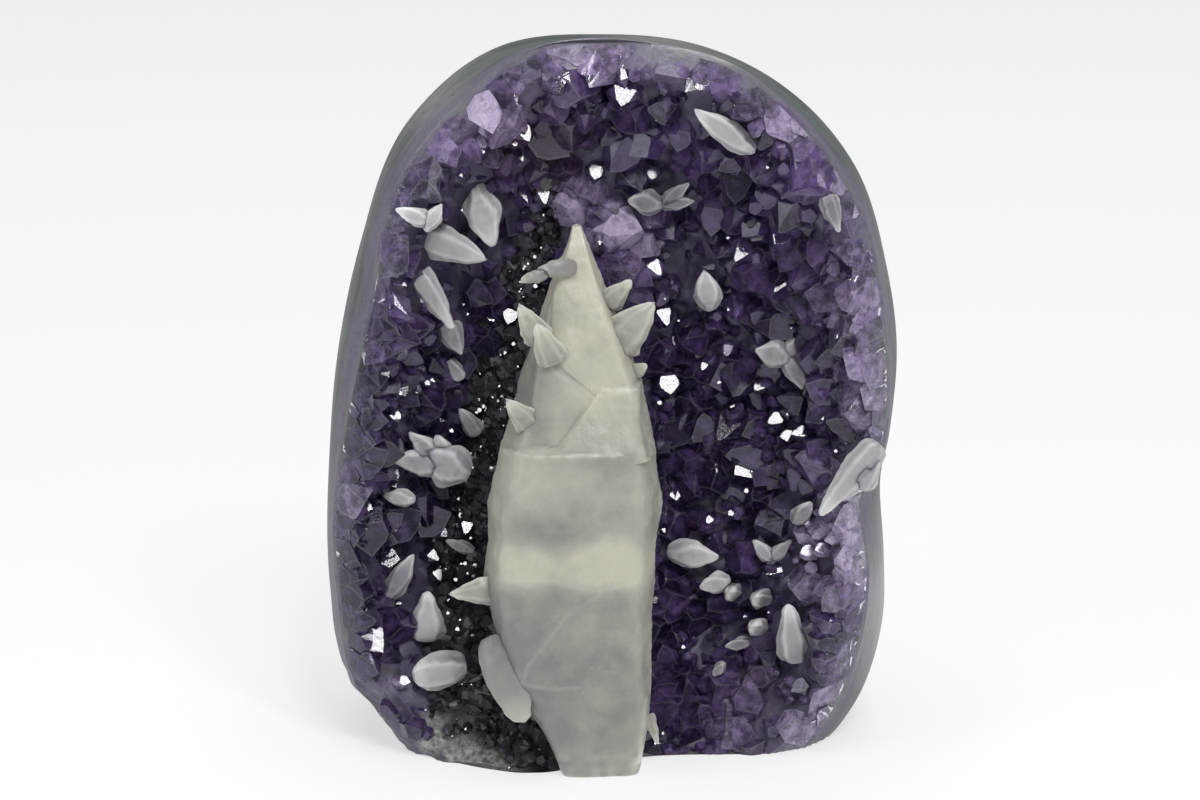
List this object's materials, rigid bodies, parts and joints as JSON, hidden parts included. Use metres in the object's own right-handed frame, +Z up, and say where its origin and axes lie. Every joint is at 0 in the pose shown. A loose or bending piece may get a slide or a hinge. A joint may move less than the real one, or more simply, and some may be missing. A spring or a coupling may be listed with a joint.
{
  "type": "amethyst geode",
  "caption": "Self-standing amethyst geode with a cut base, a purple crystal-lined bowl and a large cream calcite crystal.",
  "frame": {"origin": "under the middle of the specimen's box, on the sawn base that it stands on", "axes": "+Z up, -Y the crystal-lined front, +X to the viewer's right when facing the front"},
  "size_m": [0.1196, 0.081, 0.1497],
  "materials": {
    "rock": "grey-green host rock, polished at the front edge, natural skin behind",
    "amethyst": "clear deep purple quartz crystals with glassy flat faces, near black in the dark band",
    "calcite": "milky cream calcite, satin and slightly translucent",
    "frosted_calcite": "frosted white calcite, satin and slightly translucent"
  },
  "bodies": {
    "root": {"geode_rock": "rock", "amethyst_crust": "amethyst", "large_calcite": "calcite", "calcite_leaf_upper_left": "frosted_calcite", "calcite_leaf_left_flat": "frosted_calcite", "calcite_leaf_left_lower": "frosted_calcite", "calcite_bud_left": "frosted_calcite", "calcite_bud_dark": "frosted_calcite", "calcite_knot_upper_left": "frosted_calcite", "calcite_star_left": "frosted_calcite", "calcite_leaf_far_left": "frosted_calcite", "calcite_leaf_grey_left": "frosted_calcite", "calcite_leaf_dark_left": "frosted_calcite", "calcite_leaf_violet_left": "frosted_calcite", "calcite_leaf_lower_left": "frosted_calcite", "calcite_egg_lower_left": "frosted_calcite", "calcite_leaf_top_right": "frosted_calcite", "calcite_cluster_top": "frosted_calcite", "calcite_leaf_right_centre": "frosted_calcite", "calcite_leaf_far_right": "frosted_calcite", "calcite_star_right": "frosted_calcite", "calcite_ridge_right": "frosted_calcite", "calcite_bud_right": "frosted_calcite", "calcite_leaf_by_calcite": "frosted_calcite", "calcite_leaf_right_low": "frosted_calcite", "calcite_cluster_low_right": "frosted_calcite", "calcite_spire_lower_right": "frosted_calcite", "calcite_chip_right": "frosted_calcite", "calcite_chip_low": "frosted_calcite", "calcite_bead_middle": "frosted_calcite", "calcite_bead_upper": "frosted_calcite", "calcite_bead_lower": "frosted_calcite"}
  },
  "joints": []
}
